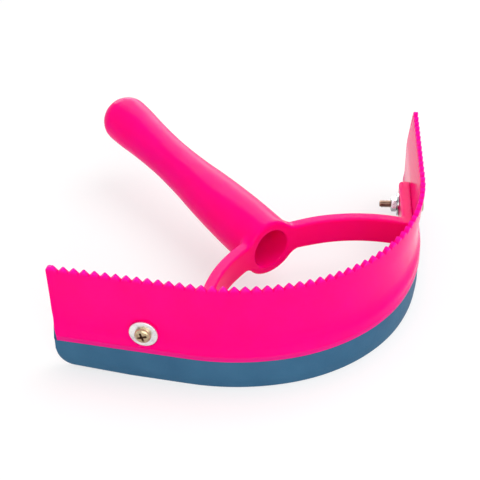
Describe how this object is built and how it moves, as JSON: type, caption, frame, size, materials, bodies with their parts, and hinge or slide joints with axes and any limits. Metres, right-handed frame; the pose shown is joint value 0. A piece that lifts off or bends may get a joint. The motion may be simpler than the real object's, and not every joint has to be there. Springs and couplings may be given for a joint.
{
  "type": "horse sweat scraper",
  "caption": "Bowed plastic sweat scraper with a toothed upper edge, a rubber wiping strip below and a hollow moulded handle on a bolted yoke.",
  "frame": {"origin": "middle of the rubber wiping edge, on the surface the scraper stands on", "axes": "+X to the right along the blade's span, +Y from the blade towards the handle's end, +Z from the wiping edge up to the teeth"},
  "size_m": [0.2342, 0.213, 0.0595],
  "materials": {
    "blade_plastic": "glossy moulded plastic, slightly lighter than the handle",
    "handle_plastic": "glossy moulded plastic",
    "rubber": "satin, slate blue",
    "screw_steel": "yellow zinc plated, darker in the thread",
    "plated_steel": "bright zinc plated"
  },
  "bodies": {
    "root": {"blade": "blade_plastic", "rubber_strip": "rubber", "handle_yoke": "handle_plastic", "right_screw": "screw_steel", "right_outer_washer": "plated_steel", "right_inner_washer": "plated_steel", "right_nut": "plated_steel", "left_screw": "screw_steel", "left_outer_washer": "plated_steel", "left_inner_washer": "plated_steel", "left_nut": "plated_steel"}
  },
  "joints": []
}
